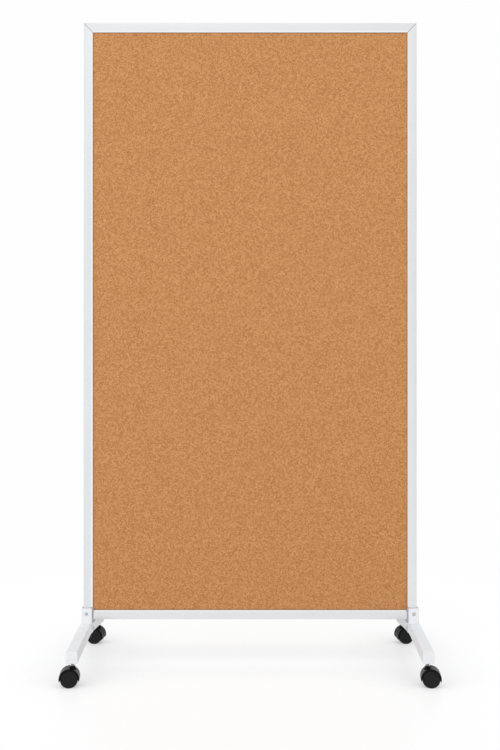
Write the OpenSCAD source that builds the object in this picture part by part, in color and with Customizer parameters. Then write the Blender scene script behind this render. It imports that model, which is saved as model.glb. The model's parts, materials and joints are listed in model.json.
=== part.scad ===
// Rolling partition: a framed cork board carried by two splayed feet on hooded twin-wheel casters.
// Millimetres. Origin on the floor under the middle of the panel, +Z up, the front looks towards -Y.

/* [Panel] */
// Outer width of the framed panel
panel_w = 950; // [800:10:1300]
// Outer height of the framed panel
panel_h = 1700; // [1200:10:1900]
// Height of the panel's lower edge above the floor
panel_z = 127.5; // [123:0.5:134]
// Width of the frame profile, seen from the front
rail_face = 26; // [25:1:30]
// Depth of the frame profile, front to back
rail_depth = 26; // [25:1:28]
// Wall thickness round the hollow chamber of the frame profile
rail_wall = 1.5; // [1.2:0.1:2]
// Width of the flat band along the outer edge of the profile
outer_band = 9.5; // [6:0.5:12]
// Width of the bevel that runs down to the cork
inner_bevel = 5; // [3:0.5:7]
// Open joint left along each mitred corner
mitre_gap = 0.5; // [0.2:0.1:1]
// Length of each arm of the corner keys inside the frame
key_arm = 62; // [40:1:90]

/* [Board] */
// Thickness of the rigid core
core_t = 10; // [8:0.5:10.5]
// Thickness of each layer of cork
cork_t = 3; // [2:0.5:3]
// Depth of the frame groove that holds the board
groove_depth = 10.5; // [8:0.5:11]
// How far the frame's lips press in the edge of the cork
press_in = 0.3; // [0.1:0.1:0.5]

/* [Brackets] */
// Thickness of the bracket's folded steel
plate_t = 2.5; // [2:0.5:3]
// Height of the bracket's top above the floor
bracket_top = 159.5; // [153:0.5:180]
// Space between the panel's edge and the bracket's outer wall
side_gap = 3.7; // [3:0.1:5]
// Thickness of the dark liner in front of and behind the panel
liner_t = 1.5; // [1:0.1:2]
// How far the liner shows past the bracket's inner edge
liner_show = 4.5; // [2:0.5:6]
// Height of the panel screws above the floor
screw_z = 143.5; // [141.5:0.5:148]
// Distance of the panel screws from the panel's edge
screw_in = 9; // [8:0.5:10]

/* [Feet] */
// Distance between the front and rear caster stems
stem_spread = 404; // [360:2:470]
// How far each leg runs on past its caster stem
leg_overhang = 13; // [13:1:20]
// Distance from the panel's edge in to the middle of the foot
foot_inset = 6; // [5:0.5:7]
// Outside width of the square leg tube
leg_w = 31; // [30:0.5:33]
// Wall thickness of the leg tube
leg_wall = 2; // [1.5:0.5:2.5]
// Outside corner radius of the leg tube
leg_r = 2.5; // [2:0.5:4]
// Height of the foot's level middle above the floor
foot_top = 115; // [113:0.5:116]
// Slope of each leg in degrees
leg_slope = 6.1; // [4.5:0.1:6.5]
// Front to back length of the foot's middle block
knuckle_l = 34; // [34:1:40]
// Thickness of the end cap's face
cap_t = 2.5; // [1.5:0.5:3]

/* [Casters] */
// Wheel diameter
wheel_d = 47; // [44:1:48]
// Width of each wheel
wheel_t = 12; // [11:0.2:13.8]
// Distance the wheels trail behind the swivel axis
trail = 8; // [8:0.5:11]
// Swivel angle of the front casters at rest, in degrees
front_turn = 7; // [-20:0.5:20]
// Swivel angle of the rear casters at rest, in degrees
rear_turn = -10; // [-20:0.5:20]
// Diameter of the caster stem
stem_d = 8; // [7:0.5:9]
// Diameter of the neck on top of the hood
neck_d = 15; // [14:0.5:16]
// Height of the neck's top above the floor
neck_top = 54.5; // [54:0.5:57]
// Height above the floor of the hood's pointed tips
hood_tip = 17; // [12:1:20]
// Height above the floor where the hood's side cheeks end
hood_notch = 22; // [20:0.5:24]
// Diameter of the wheel axle
axle_d = 6; // [5:0.5:7]

/* [Fixings] */
// Diameter of the panel screws
screw_d = 6; // [5:0.5:6]
// Diameter of the foot bolt
bolt_d = 8; // [6:0.5:8]
// Radial clearance of a running fit
run_fit = 0.05; // [0.02:0.01:0.09]
// Clearance between pieces that stay still against each other
slip = 0.05; // [0.02:0.01:0.1]

/* [Hidden] */

$fn = 64;
LEFT = -1;
RIGHT = 1;
FRONT = -1;
REAR = 1;
TOP = 1;
BOTTOM = -1;

SILVER = [0.83, 0.84, 0.85];
WHITE_STEEL = [0.90, 0.90, 0.90];
CORK = [0.78, 0.57, 0.36];
CORE = [0.62, 0.50, 0.38];
BLACK = [0.09, 0.09, 0.10];
DARK_STEEL = [0.22, 0.22, 0.23];
ZINC = [0.70, 0.71, 0.73];

half_w = panel_w / 2;
panel_top = panel_z + panel_h;
board_half_t = core_t / 2 + cork_t;
groove_bottom = rail_face - groove_depth;
board_edge = groove_bottom + 0.5;
chamber_end = groove_bottom - rail_wall;
chamber_half = rail_depth / 2 - rail_wall;

foot_x = half_w - foot_inset;
foot_in = foot_x - leg_w / 2;
bracket_in = foot_in - 2 * slip - plate_t;
bracket_out = half_w + side_gap + plate_t;
liner_y = rail_depth / 2 + liner_t;
bracket_y = liner_y + plate_t;
web_top = foot_top + plate_t;
screw_x = half_w - screw_in;

stem_y = stem_spread / 2;
leg_end = stem_y + leg_overhang;
leg_tall = leg_w / cos(leg_slope);
foot_mid = foot_top - leg_tall / 2;
knuckle_half = knuckle_l / 2;
bush_r = 7;
bush_bottom = leg_top_at(leg_end) - leg_tall - 2.6;
bush_top = leg_top_at(stem_y + bush_r) - leg_wall / cos(leg_slope) - 1;

axle_z = wheel_d / 2;
web_half = 6.5;
hood_in_r = wheel_d / 2 + 0.8;
hood_out_r = hood_in_r + 2.7;
hood_eye_r = wheel_d / 2 - 1.9;
wheel_start = web_half + 0.9;
hood_side = wheel_start + wheel_t + 0.5;
hood_half = hood_side + 1.1;
stem_bottom = 37;
collar_z = 41;

// Height of a leg's upper face at distance y from the middle of the foot
function leg_top_at(y) = foot_top - tan(leg_slope) * max(0, y - knuckle_half);

// Draws its children on the right, or mirrored onto the left
module side(s) {
    mirror([s < 0 ? 1 : 0, 0, 0]) children();
}

// Draws its children at the rear, or mirrored onto the front
module facing(f) {
    mirror([0, f < 0 ? 1 : 0, 0]) children();
}

// A box between two corners
module box(low, high) {
    translate(low) cube(high - low);
}

// A rectangle with rounded corners, middle at the origin
module rounded_rect(w, h, r) {
    square([w - 2 * r, h], center = true);
    square([w, h - 2 * r], center = true);
    for (x = [-1, 1], y = [-1, 1]) {
        translate([x * (w / 2 - r), y * (h / 2 - r)]) circle(r);
    }
}

// A rod along Y between two positions
module rod_y(r, y0, y1) {
    translate([0, y0, 0]) rotate([-90, 0, 0]) cylinder(r = r, h = y1 - y0);
}

// ---- Frame ----

// Section of the frame profile: the outer edge lies on the X axis, the groove opens downwards
module rail_section() {
    h = rail_depth / 2;
    lip = groove_half();
    difference() {
        polygon([
            [-h + 0.8, 0], [h - 0.8, 0],
            [h, -0.8], [h, -outer_band],
            [h - 0.8, -rail_face + inner_bevel], [h - 3.3, -rail_face],
            [-h + 3.3, -rail_face], [-h + 0.8, -rail_face + inner_bevel],
            [-h, -outer_band], [-h, -0.8]
        ]);
        translate([-chamber_half, -chamber_end]) square([2 * chamber_half, chamber_end - rail_wall]);
        translate([-lip, -rail_face - 1]) square([2 * lip, groove_depth + 1]);
    }
}

function groove_half() = board_half_t + slip;

// A length of profile along X with both ends mitred, outer edge at Z = 0
module mitred_rail(length) {
    end = length / 2 - mitre_gap / sqrt(2);
    intersection() {
        rotate([90, 0, 90]) linear_extrude(length, center = true) rail_section();
        rotate([90, 0, 0]) linear_extrude(rail_depth + 2, center = true)
            polygon([[-end, 0], [end, 0], [end - rail_face, -rail_face], [rail_face - end, -rail_face]]);
    }
}

module top_rail() {
    color(SILVER) translate([0, 0, panel_top]) mitred_rail(panel_w);
}

module bottom_rail() {
    color(SILVER) translate([0, 0, panel_z]) rotate([0, 180, 0]) mitred_rail(panel_w);
}

module stile(s) {
    color(SILVER) side(s) difference() {
        translate([half_w, 0, panel_z + panel_h / 2]) rotate([0, 90, 0]) mitred_rail(panel_h);
        translate([screw_x, 0, screw_z]) rod_y(screw_d / 2 + 0.2, -rail_depth, rail_depth);
    }
}

// Angle piece inside the frame that joins a stile to a rail
module corner_key(s, level) {
    a = rail_wall + slip * 2;
    b = chamber_end - slip * 2;
    y = chamber_half - slip * 2;
    z = level == TOP ? panel_top : panel_z;
    color(ZINC) side(s) difference() {
        translate([half_w, 0, z]) mirror([0, 0, level == TOP ? 1 : 0]) {
            box([-key_arm, -y, a], [-a, y, b]);
            box([-b, -y, a], [-a, y, key_arm]);
        }
        if (level == BOTTOM) {
            translate([screw_x, 0, screw_z]) rod_y(screw_d / 2 + slip, -rail_depth, rail_depth);
        }
    }
}

// ---- Board ----

// A sheet of the board between two depths, its edges a distance in from the panel's edges
module sheet(inset, y0, y1) {
    x = half_w - inset;
    box([-x, y0, panel_z + inset], [x, y1, panel_top - inset]);
}

module board_core() {
    color(CORE) sheet(board_edge, -core_t / 2, core_t / 2);
}

module cork_layer(f) {
    color(CORK) facing(f) {
        sheet(board_edge, core_t / 2, board_half_t - press_in);
        sheet(rail_face + slip, core_t / 2, board_half_t);
    }
}

// ---- Brackets that hold the panel on its feet ----

// Plan of a channel that opens towards the middle of the panel
module channel_plan(x0, x1, half_y, wall_x, wall_y, r) {
    intersection() {
        difference() {
            rounded_rect(2 * x1, 2 * half_y, r);
            rounded_rect(2 * (x1 - wall_x), 2 * (half_y - wall_y), max(0.5, r - wall_y));
        }
        translate([x0, -half_y]) square([x1 - x0, 2 * half_y]);
    }
}

module bracket(s) {
    color(WHITE_STEEL) side(s) difference() {
        union() {
            translate([0, 0, foot_top])
                linear_extrude(bracket_top - foot_top)
                    channel_plan(bracket_in, bracket_out, bracket_y, plate_t, plate_t, 3);
            box([bracket_in, -bracket_y + 1, foot_top], [bracket_out - 1, bracket_y - 1, web_top]);
            box([bracket_in, -10, foot_mid - 12], [bracket_in + plate_t, 10, web_top]);
        }
        translate([screw_x, 0, screw_z]) rod_y(screw_d / 2 + 0.2, -bracket_y - 1, bracket_y + 1);
        translate([bracket_in - 1, 0, foot_mid]) rotate([0, 90, 0]) cylinder(r = bolt_d / 2 + 0.2, h = plate_t + 2);
    }
}

module liner(s) {
    x0 = bracket_in - liner_show;
    x1 = bracket_out - plate_t - slip;
    color(BLACK) side(s) difference() {
        union() {
            translate([0, 0, web_top + slip])
                linear_extrude(bracket_top + 0.6 - web_top)
                    channel_plan(x0, x1, liner_y - slip, side_gap - 2 * slip, liner_t - 2 * slip, 0.6);
            box([x0, -liner_y + 2 * slip, web_top + slip], [x1 - 1, liner_y - 2 * slip, panel_z - slip]);
        }
        translate([screw_x, 0, screw_z]) rod_y(screw_d / 2 + 0.2, -bracket_y, bracket_y);
    }
}

// Button-head fixing with a hex socket: the head stands above Z = 0, the shank runs down
module button_screw(d, length, head_r, head_h, socket_r) {
    difference() {
        union() {
            translate([0, 0, -length]) cylinder(d = d, h = length + 0.5);
            cylinder(r = head_r, h = head_h * 0.4);
            translate([0, 0, head_h * 0.4]) cylinder(r1 = head_r, r2 = head_r * 0.62, h = head_h * 0.6);
        }
        translate([0, 0, head_h * 0.35]) cylinder(r = socket_r, h = head_h, $fn = 6);
    }
}

module panel_screws(s) {
    color(DARK_STEEL) side(s) for (f = [FRONT, REAR]) {
        facing(f) translate([screw_x, bracket_y, screw_z]) rotate([-90, 0, 0])
            button_screw(screw_d, 13, 4.8, 2.6, 2);
    }
}

module foot_bolt(s) {
    color(DARK_STEEL) side(s) translate([bracket_in, 0, foot_mid]) rotate([0, -90, 0])
        button_screw(bolt_d, 20, 7, 4, 2.9);
}

// ---- Feet ----

// A bar that follows the leg's slope, cut square at both ends by upright planes
module leg_bar(w, r, y0, y1) {
    intersection() {
        translate([foot_x, knuckle_half, foot_mid])
            rotate([-90 - leg_slope, 0, 0])
                translate([0, 0, -60]) linear_extrude(leg_end + 120) rounded_rect(w, w, r);
        box([foot_x - leg_w, y0, 0], [foot_x + leg_w, y1, foot_top + 30]);
    }
}

// Solid middle of the foot with a sloping spigot for each leg
module knuckle(s) {
    spigot = leg_w - 2 * leg_wall - 4 * slip;
    color(WHITE_STEEL) side(s) difference() {
        union() {
            translate([foot_x, knuckle_half, foot_mid]) rotate([90, 0, 0])
                linear_extrude(knuckle_l) rounded_rect(leg_w, leg_tall, leg_r);
            for (f = [FRONT, REAR]) {
                facing(f) leg_bar(spigot, 1, knuckle_half - 3, knuckle_half + 34);
            }
        }
        translate([foot_in - 1, 0, foot_mid]) rotate([0, 90, 0]) cylinder(r = bolt_d / 2 + slip, h = 21);
    }
}

module leg(s, f) {
    color(WHITE_STEEL) side(s) facing(f) difference() {
        leg_bar(leg_w, leg_r, knuckle_half + 2 * slip, leg_end - cap_t - slip);
        leg_bar(leg_w - 2 * leg_wall, leg_r - leg_wall + 0.5, 0, leg_end + 1);
        translate([foot_x, stem_y, bush_bottom]) cylinder(r = bush_r + slip, h = 20);
    }
}

module end_cap(s, f) {
    inside = leg_w - 2 * leg_wall - 4 * slip;
    color(WHITE_STEEL) side(s) facing(f) {
        leg_bar(leg_w, leg_r, leg_end - cap_t, leg_end);
        difference() {
            leg_bar(inside, 1, stem_y + bush_r + 0.4, leg_end - cap_t + 0.5);
            leg_bar(inside - 4, 1, 0, leg_end - cap_t);
        }
    }
}

// Threaded socket in the leg that takes the caster stem
module bush(s, f) {
    color(ZINC) side(s) translate([foot_x, f * stem_y, 0]) difference() {
        union() {
            translate([0, 0, bush_bottom]) cylinder(r = bush_r, h = bush_top - bush_bottom);
            translate([0, 0, bush_bottom]) cylinder(r = bush_r + 2, h = 2.3);
        }
        translate([0, 0, bush_bottom - 1]) cylinder(r = stem_d / 2 + slip, h = bush_top);
    }
}

// ---- Casters, drawn round the swivel axis with the wheels trailing along +X ----

module at_caster(s, f) {
    turn = f == FRONT ? front_turn : rear_turn;
    side(s) translate([foot_x, f * stem_y, 0]) rotate([0, 0, -turn]) children();
}

module stem(s, f) {
    color(ZINC) at_caster(s, f) {
        translate([0, 0, stem_bottom]) cylinder(d = stem_d, h = bush_top - 3 - stem_bottom);
        translate([0, 0, collar_z]) cylinder(d = stem_d + 1.6, h = 1.6);
        translate([0, 0, neck_top - 1.6]) cylinder(d = stem_d + 3.6, h = 2.2);
    }
}

module hood(s, f) {
    color(BLACK) at_caster(s, f) difference() {
        union() {
            intersection() {
                translate([trail, 0, axle_z]) rod_y(hood_out_r, -hood_half, hood_half);
                box([-40, -40, hood_tip], [60, 40, 60]);
            }
            translate([0, 0, axle_z + 4]) cylinder(d = neck_d, h = neck_top - axle_z - 4);
        }
        for (y = [-1, 1]) {
            facing(y) translate([trail, 0, axle_z]) {
                rod_y(hood_in_r, web_half, hood_side);
                rod_y(hood_eye_r, hood_side - 1, hood_half + 1);
            }
            facing(y) intersection() {
                translate([trail, 0, axle_z]) rod_y(hood_in_r, hood_side - 1, hood_half + 1);
                box([-40, 0, 0], [60, 40, hood_notch]);
            }
        }
        translate([0, 0, stem_bottom - 1]) cylinder(r = stem_d / 2 + run_fit, h = 30);
        translate([0, 0, collar_z - 0.4]) cylinder(d = stem_d + 2, h = 2.4);
        translate([0, 0, neck_top - 2]) cylinder(d = stem_d + 4.2, h = 3);
        translate([trail, 0, axle_z]) rod_y(axle_d / 2 + 0.02, -10, 10);
    }
}

module axle(s, f) {
    color(DARK_STEEL) at_caster(s, f) translate([trail, 0, axle_z])
        rod_y(axle_d / 2, -hood_side + 3.2, hood_side - 3.2);
}

// One wheel of a pair; d is FRONT or REAR for its place along the axle
module wheel(s, f, d) {
    r = wheel_d / 2;
    a = wheel_start;
    b = wheel_start + wheel_t;
    color(BLACK) at_caster(s, f) translate([trail, 0, axle_z]) facing(d) rotate([-90, 0, 0])
        difference() {
            rotate_extrude($fn = 96) polygon([
                [0, a], [r - 1.2, a], [r, a + 1.2], [r, b - 1.6], [r - 0.5, b - 0.5], [r - 1.6, b],
                [r - 3.4, b], [r - 4, b - 0.9], [9.5, b - 0.9], [9, b - 0.2], [0, b - 0.2]
            ]);
            translate([0, 0, a - 1]) cylinder(r = axle_d / 2 + run_fit, h = wheel_t - 1.6);
        }
}

top_rail();
bottom_rail();
stile(LEFT);  // left_stile
stile(RIGHT);  // right_stile
corner_key(LEFT, TOP);  // top_left_key
corner_key(RIGHT, TOP);  // top_right_key
corner_key(LEFT, BOTTOM);  // bottom_left_key
corner_key(RIGHT, BOTTOM);  // bottom_right_key
board_core();
cork_layer(FRONT);  // front_cork
cork_layer(REAR);  // rear_cork
bracket(LEFT);  // left_bracket
bracket(RIGHT);  // right_bracket
liner(LEFT);  // left_liner
liner(RIGHT);  // right_liner
knuckle(LEFT);  // left_knuckle
knuckle(RIGHT);  // right_knuckle
foot_bolt(LEFT);  // left_foot_bolt
foot_bolt(RIGHT);  // right_foot_bolt
panel_screws(LEFT);  // left_panel_screws
panel_screws(RIGHT);  // right_panel_screws
leg(LEFT, FRONT);  // front_left_leg
leg(RIGHT, FRONT);  // front_right_leg
leg(LEFT, REAR);  // rear_left_leg
leg(RIGHT, REAR);  // rear_right_leg
end_cap(LEFT, FRONT);  // front_left_cap
end_cap(RIGHT, FRONT);  // front_right_cap
end_cap(LEFT, REAR);  // rear_left_cap
end_cap(RIGHT, REAR);  // rear_right_cap
bush(LEFT, FRONT);  // front_left_bush
bush(RIGHT, FRONT);  // front_right_bush
bush(LEFT, REAR);  // rear_left_bush
bush(RIGHT, REAR);  // rear_right_bush
stem(LEFT, FRONT);  // front_left_stem
stem(RIGHT, FRONT);  // front_right_stem
stem(LEFT, REAR);  // rear_left_stem
stem(RIGHT, REAR);  // rear_right_stem
hood(LEFT, FRONT);  // front_left_hood
hood(RIGHT, FRONT);  // front_right_hood
hood(LEFT, REAR);  // rear_left_hood
hood(RIGHT, REAR);  // rear_right_hood
axle(LEFT, FRONT);  // front_left_axle
axle(RIGHT, FRONT);  // front_right_axle
axle(LEFT, REAR);  // rear_left_axle
axle(RIGHT, REAR);  // rear_right_axle
wheel(LEFT, FRONT, FRONT);  // front_left_wheel_fore
wheel(RIGHT, FRONT, FRONT);  // front_right_wheel_fore
wheel(LEFT, REAR, FRONT);  // rear_left_wheel_fore
wheel(RIGHT, REAR, FRONT);  // rear_right_wheel_fore
wheel(LEFT, FRONT, REAR);  // front_left_wheel_aft
wheel(RIGHT, FRONT, REAR);  // front_right_wheel_aft
wheel(LEFT, REAR, REAR);  // rear_left_wheel_aft
wheel(RIGHT, REAR, REAR);  // rear_right_wheel_aft
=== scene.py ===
"""Rolling partition: a framed cork board on two splayed feet with hooded twin-wheel casters.

Laid out as a Blender add-on and run as a script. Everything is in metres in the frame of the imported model:
the floor is at Z = 0, the front of the partition looks towards -Y, and +X is on the viewer's right.
"""
import json
import math

import bmesh
import bpy
from mathutils import Matrix, Vector


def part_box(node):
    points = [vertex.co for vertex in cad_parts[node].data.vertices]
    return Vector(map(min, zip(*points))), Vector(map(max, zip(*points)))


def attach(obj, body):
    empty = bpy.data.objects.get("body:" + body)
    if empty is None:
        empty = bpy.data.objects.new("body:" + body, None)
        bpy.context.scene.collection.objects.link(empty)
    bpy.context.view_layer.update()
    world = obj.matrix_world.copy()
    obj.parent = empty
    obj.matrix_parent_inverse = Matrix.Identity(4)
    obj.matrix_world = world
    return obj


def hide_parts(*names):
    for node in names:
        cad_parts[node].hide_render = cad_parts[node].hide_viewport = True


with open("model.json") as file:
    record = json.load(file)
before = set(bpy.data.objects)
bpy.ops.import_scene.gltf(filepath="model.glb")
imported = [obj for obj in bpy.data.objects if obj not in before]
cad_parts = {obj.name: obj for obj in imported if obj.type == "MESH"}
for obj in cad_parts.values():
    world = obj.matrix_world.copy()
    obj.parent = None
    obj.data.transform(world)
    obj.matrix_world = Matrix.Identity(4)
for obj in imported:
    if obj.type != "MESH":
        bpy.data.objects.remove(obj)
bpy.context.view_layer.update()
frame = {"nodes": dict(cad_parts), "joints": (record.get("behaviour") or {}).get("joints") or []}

bl_info = {
    "name": "Rolling Partition",
    "version": (1, 0, 0),
    "blender": (4, 5, 0),
    "location": "3D View > Sidebar > Partition",
    "description": "Builds a framed cork partition on two splayed feet with twin-wheel casters",
    "category": "Object",
}

MM = 0.001
FULL_TURN = 2 * math.pi
STAND = "stand"
SIDES = (("left", -1), ("right", 1))
ENDS = (("front", -1), ("rear", 1))
WHEELS = (("fore", -1), ("aft", 1))
THROUGH = 50 * MM  # how far a cutting rod runs to each side of the panel's middle
SLIP = 0.05 * MM  # space between pieces that stay still against each other
LOOSE = 0.2 * MM  # space round a screw or bolt in the holes that it passes through
SCREW_RADIUS = 3 * MM
BOLT_RADIUS = 4 * MM
SOCKET_RADIUS = 7 * MM  # outside of the threaded sockets in the legs
SPARE = 30 * MM  # how much too long a sloping piece is made at each end before it is cut upright
NOISE_LOW, NOISE_HIGH = 0.3, 0.7  # nearly all the values of a noise pattern lie between these
PLAIN_WHITE = 0.991  # the surroundings as the camera sees them
ROOM_TINT = (0.975, 0.985, 1.0)  # colour of the light from the white surroundings


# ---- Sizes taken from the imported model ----

def joint(name):
    return next(entry for entry in frame["joints"] if entry["name"] == name)


PANEL_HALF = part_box("right_stile")[1].x
PANEL_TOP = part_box("top_rail")[1].z
RAIL_LOW, RAIL_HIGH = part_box("bottom_rail")
PANEL_BOTTOM = RAIL_LOW.z
RAIL_FACE = RAIL_HIGH.z - PANEL_BOTTOM
RAIL_HALF_DEPTH = RAIL_HIGH.y
CORK_LOW, CORK_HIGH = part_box("rear_cork")
BRACKET_LOW, BRACKET_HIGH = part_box("right_bracket")
LINER_LOW, LINER_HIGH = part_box("right_liner")
LEG_LOW, LEG_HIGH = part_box("rear_right_leg")
LEG_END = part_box("rear_right_cap")[1].y
BLOCK_HALF = LEG_LOW.y - 0.1 * MM  # half the length of the foot's middle block
FOOT_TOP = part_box("right_knuckle")[1].z
BUSH_LOW, BUSH_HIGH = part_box("rear_right_bush")
STEM_LOW, STEM_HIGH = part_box("rear_right_stem")
WHEEL_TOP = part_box("rear_right_wheel_aft")[1].z
FOOT_X, STEM_Y, NECK_TOP = joint("rear_right_swivel_turn")["pos_m"]
AXLE_Z = joint("rear_right_aft_wheel_spin")["pos_m"][2]
SCREW_LOW, SCREW_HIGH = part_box("right_panel_screws")
SCREW_X = (SCREW_LOW.x + SCREW_HIGH.x) / 2
SCREW_Z = (SCREW_LOW.z + SCREW_HIGH.z) / 2
BOLT_LOW, BOLT_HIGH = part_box("right_foot_bolt")
BOLT_Z = (BOLT_LOW.z + BOLT_HIGH.z) / 2


def axle_turn(end):
    """How far the casters at one end are swivelled at rest, in radians."""
    x, y, _ = joint(f"{end}_right_aft_wheel_spin")["axis"]
    return math.atan2(x, y)


def trail():
    """How far the axle lies behind the swivel."""
    x, y, _ = joint("rear_right_aft_wheel_spin")["pos_m"]
    return math.hypot(x - FOOT_X, y - STEM_Y)


# ---- Sizes and colours that a user would change ----

def length(name, description, default):
    return bpy.props.FloatProperty(
        name=name, description=description, default=default, min=0.0, precision=4, subtype="DISTANCE",
        unit="LENGTH")


def colour(name, description, default):
    return bpy.props.FloatVectorProperty(
        name=name, description=description, default=default, min=0.0, max=1.0, size=3, subtype="COLOR")


def share(name, description, default, top=1.0):
    return bpy.props.FloatProperty(
        name=name, description=description, default=default, min=0.0, max=top, subtype="FACTOR")


def watts(name, description, default):
    return bpy.props.FloatProperty(
        name=name, description=description, default=default, min=0.0, unit="POWER")


class PartitionFrameSettings(bpy.types.PropertyGroup):
    outer_band: length("Outer band", "Width of the flat band along the outer edge of the profile", 9.5 * MM)
    inner_bevel: length("Inner bevel", "Width of the bevel that runs down to the cork", 5 * MM)
    groove_half: length("Groove", "Half the width of the groove that holds the board", 8.05 * MM)
    groove_depth: length("Groove depth", "Depth of the groove that holds the board", 10.5 * MM)
    wall: length("Wall", "Wall thickness round the chamber of the profile", 1.5 * MM)
    edge_radius: length("Edge radius", "Rounding of the profile's outer edges", 0.9 * MM)
    lip_radius: length("Lip radius", "Rounding of the lips beside the cork", 0.35 * MM)
    joint_line: length("Joint line", "Open line along each mitre", 1.0 * MM)
    metal: colour("Metal", "Colour of the satin aluminium", (0.80, 0.806, 0.82))
    # The bright bevel colour is a painted highlight, for the light caught by the bevels of the top rail and
    # the left stile.
    bright: colour("Bright bevel", "Colour of the brighter bevel beside the cork", (0.92, 0.922, 0.93))


class PartitionBoardSettings(bpy.types.PropertyGroup):
    lip_inset: length("Lip inset", "How far the frame covers the edge of the cork", 9.9 * MM)
    press_in: length("Press in", "How far the frame's lips press in the cork", 0.3 * MM)
    gap: length("Gap", "Width of the open line between the lip and the cork", 0.25 * MM)
    gap_depth: length("Gap depth", "Depth of the open line between the lip and the cork", 1.2 * MM)
    # The cork's darker edge along the lips is painted shade, standing for the shadow that the lips cast on
    # the cork.
    shade_reach: length("Edge shade", "Width of the darker edge that the cork shows along the lips", 3 * MM)
    granule: length("Granule", "Size of the cork granules", 3.2 * MM)
    cork: colour("Cork", "Mean colour of the cork", (0.545, 0.250, 0.090))
    cork_dark: colour("Dark granules", "Colour of the dark granules", (0.40, 0.162, 0.052))
    cork_light: colour("Light granules", "Colour of the light granules", (0.66, 0.334, 0.135))
    core: colour("Core", "Colour of the fibre core", (0.30, 0.19, 0.11))
    # The cut edge's dark colour is painted shade for the shadow in the open line beside the lips.
    edge: colour("Cut edge", "Colour of the cork's cut edge in the open line", (0.14, 0.095, 0.06))


class PartitionBracketSettings(bpy.types.PropertyGroup):
    plate: length("Plate", "Thickness of the folded steel", 2.5 * MM)
    bend_radius: length("Bend radius", "Outer radius of the folds", 3.4 * MM)
    easing: length("Edge easing", "Rounding of the cut edges under the coating", 0.5 * MM)
    tab_half: length("Tab", "Half the width of the tab that is bolted to the foot", 10 * MM)
    tab_corner: length("Tab corner", "Corner radius of the tab", 5 * MM)
    liner_wall: length("Liner wall", "Thickness of the liner in front of and behind the frame", 1.4 * MM)
    liner: colour("Liner", "Colour of the liners", (0.40, 0.40, 0.43))


class PartitionFootSettings(bpy.types.PropertyGroup):
    tube: length("Tube", "Outside width of the square leg tube", 31 * MM)
    wall: length("Wall", "Wall thickness of the leg tube", 2 * MM)
    corner: length("Corner", "Corner radius of the leg tube", 2.8 * MM)
    slope: bpy.props.FloatProperty(
        name="Slope", description="Fall of each leg towards its caster", default=math.radians(6.1),
        subtype="ANGLE", unit="ROTATION")
    cap: length("Cap", "Thickness of the end cap's face", 2.5 * MM)
    easing: length("Edge easing", "Rounding of the tube's cut ends", 0.45 * MM)
    coat: colour("Coat", "Colour of the powder coat", (0.806, 0.827, 0.838))
    # The legs' coat is the same powder coat tinted cooler, a painted offset for the warm light that the cork
    # bounces onto them.
    leg_coat: colour("Leg coat", "Colour of the powder coat on the four legs", (0.770, 0.806, 0.834))


class PartitionCasterSettings(bpy.types.PropertyGroup):
    wheel_width: length("Wheel width", "Width of each wheel", 12 * MM)
    wheel_gap: length("Wheel gap", "Space between a wheel and the web", 0.9 * MM)
    shell: length("Shell", "Thickness of the hood's shell", 2.7 * MM)
    shell_gap: length("Shell gap", "Space between the shell and the wheels", 0.8 * MM)
    shell_edge: length("Shell edge", "Rounding of the hood's outer edges", 3 * MM)
    overlap: length("Overlap", "How far the hood's sides reach over the wheels", 1.9 * MM)
    web_half: length("Web", "Half the thickness of the web between the wheels", 6.5 * MM)
    cheek: length("Cheek", "Thickness of the rim at each side of the hood", 1.1 * MM)
    hood_tip: length("Hood tip", "Height above the floor of the hood's pointed ends", 17 * MM)
    notch: length("Notch", "Height above the floor where the hood's sides end", 22 * MM)
    neck: length("Neck", "Diameter of the neck", 15 * MM)
    stem: length("Stem", "Diameter of the stem", 8 * MM)
    axle: length("Axle", "Diameter of the axle", 6 * MM)
    hood: colour("Hood", "Colour of the hood's plastic", (0.0035, 0.0035, 0.0038))
    disc: colour("Disc", "Colour of the wheel's disc", (0.0070, 0.0075, 0.0080))
    tread: colour("Tread", "Colour of the wheel's tread", (0.012, 0.012, 0.013))
    zinc: colour("Zinc", "Colour of the plated sockets", (0.62, 0.63, 0.65))
    stem_steel: colour("Stem steel", "Colour of the stems, dulled by grease", (0.19, 0.193, 0.2))
    collar_steel: colour("Collar steel", "Colour of the bright collar on each stem", (0.72, 0.725, 0.74))
    screw: colour("Screw", "Colour of the plated screws and bolts", (0.55, 0.555, 0.565))
    axle_steel: colour("Axle steel", "Colour of the blackened axles", (0.10, 0.10, 0.105))


class PartitionStageSettings(bpy.types.PropertyGroup):
    camera_distance: length("Camera distance", "Distance of the camera from the panel's middle", 2.577)
    camera_height: length("Camera height", "Height of the camera above the floor", 0.7915)
    focal: bpy.props.FloatProperty(
        name="Focal length", description="Focal length in millimetres", default=43.176, unit="CAMERA")
    shift_up: bpy.props.FloatProperty(
        name="Shift", description="Upward shift of the lens, as a share of the picture's longer side",
        default=0.0152)
    floor: colour("Floor", "Colour of the floor", (0.86, 0.86, 0.865))
    floor_white: share("Floor white", "Share of plain white that the camera sees in the floor", 0.76)
    # The floor's darkening close under the pieces is painted shade in its glow.
    floor_painted_shade: share("Floor shade", "How much darker the floor gets close under the pieces", 0.58)
    room: share("Room light", "Strength of the even light from all sides", 1.0, 5.0)
    room_front: share("Front share", "How much stronger the even light is from the front", 0.38, 5.0)
    front: watts("Front light", "Power of the soft light above the camera", 0.45)
    strip: watts("Strip light", "Power of the tall light behind the camera, on the left", 1.305)
    side: watts("Side light", "Power of the soft light at the upper left", 14.0)


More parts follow.
